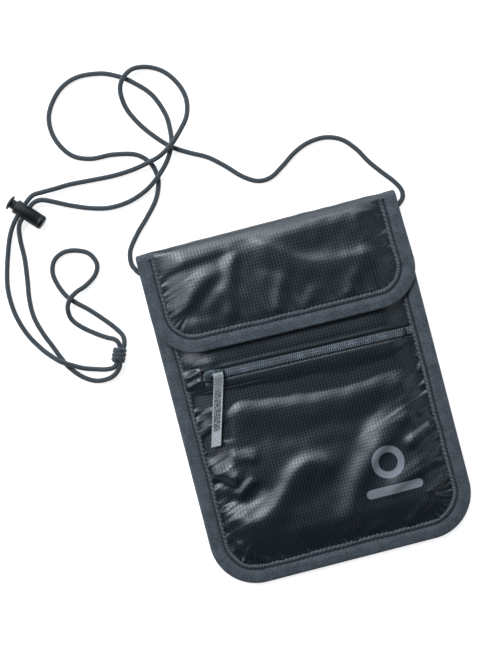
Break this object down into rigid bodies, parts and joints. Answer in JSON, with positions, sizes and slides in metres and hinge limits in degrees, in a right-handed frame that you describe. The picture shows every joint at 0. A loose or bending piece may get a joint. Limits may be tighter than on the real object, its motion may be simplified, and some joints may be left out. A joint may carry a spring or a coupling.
{
  "type": "neck pouch wallet",
  "caption": "Flat ripstop neck pouch with bound edges, a fold-over flap, a zipped front pocket and a long neck cord with a cord lock.",
  "frame": {"origin": "middle of the pouch's outline, without its cord, on the surface it lies on", "axes": "+Z out of the pouch's front, +Y along its height towards the fold of the flap, +X across its width towards the right as seen from the front"},
  "size_m": [0.2368, 0.3101, 0.0123],
  "materials": {
    "ripstop": "semi-gloss coated ripstop nylon, charcoal",
    "lining": "plain woven polyester, dark grey",
    "binding": "matt brushed woven tape, grey",
    "zip_tape": "ribbed zip tape, dark grey",
    "zip_coil": "nylon coil, dark grey",
    "slider_metal": "satin gunmetal",
    "puller": "light grey woven tape with dark stitching",
    "hook_and_loop": "black hook-and-loop tape",
    "cord": "round braided cord, grey",
    "lock_plastic": "matt black moulded plastic",
    "spring_steel": "bare spring wire"
  },
  "bodies": {
    "pouch": {"back_panel": "lining", "divider_panel": "lining", "front_panel": "ripstop", "upper_front_strip": "ripstop", "mouth_hem": "ripstop", "body_binding": "binding", "loop_patch": "hook_and_loop", "lower_zip_tape": "zip_tape", "upper_zip_tape": "zip_tape", "lower_zip_coil": "zip_coil", "upper_zip_coil": "zip_coil", "zip_stop": "slider_metal", "zip_end_tab": "ripstop", "neck_cord_left": "cord", "neck_cord_right": "cord", "neck_cord_loop": "cord", "cord_knot": "cord"},
    "spine": {"flap_spine": "ripstop", "spine_binding_left": "binding", "spine_binding_right": "binding"},
    "flap": {"flap_outer": "ripstop", "flap_lining": "lining", "flap_binding": "binding", "hook_patch": "hook_and_loop"},
    "slider": {"slider_body": "slider_metal"},
    "puller": {"puller_tape": "puller"},
    "lock": {"cord_lock_barrel": "lock_plastic", "cord_lock_spring": "spring_steel"},
    "plunger": {"cord_lock_plunger": "lock_plastic"}
  },
  "joints": [
    {"name": "flap_lower_crease", "type": "hinge", "parent": "pouch", "child": "spine", "pos_m": [0, 0.0991, 0.001], "axis": [-1, 0, 0], "range_deg": [0, 50]},
    {"name": "flap_upper_crease", "type": "hinge", "parent": "spine", "child": "flap", "pos_m": [0, 0.0991, 0.0103], "axis": [-1, 0, 0], "range_deg": [0, 120]},
    {"name": "zip_travel", "type": "slide", "parent": "pouch", "child": "slider", "axis": [0.9997, -0.0262, 0], "range_m": [0, 0.104]},
    {"name": "puller_swing", "type": "hinge", "parent": "slider", "child": "puller", "pos_m": [-0.04758, 0.02265, 0.011], "axis": [-0.9997, 0.0262, 0], "range_deg": [0, 180]},
    {"name": "cord_lock_travel", "type": "slide", "parent": "pouch", "child": "lock", "axis": [-0.7314, -0.682, 0], "range_m": [0, 0.003]},
    {"name": "plunger_press", "type": "slide", "parent": "lock", "child": "plunger", "axis": [0.682, -0.7314, 0], "range_m": [0, 0.0024], "stiffness_N_per_m": 400, "springref_m": -0.002, "deforming": ["cord_lock_spring"]}
  ],
  "couplings": [
    {"joint": "flap_upper_crease", "follows": "flap_lower_crease", "ratio": 2.4}
  ]
}
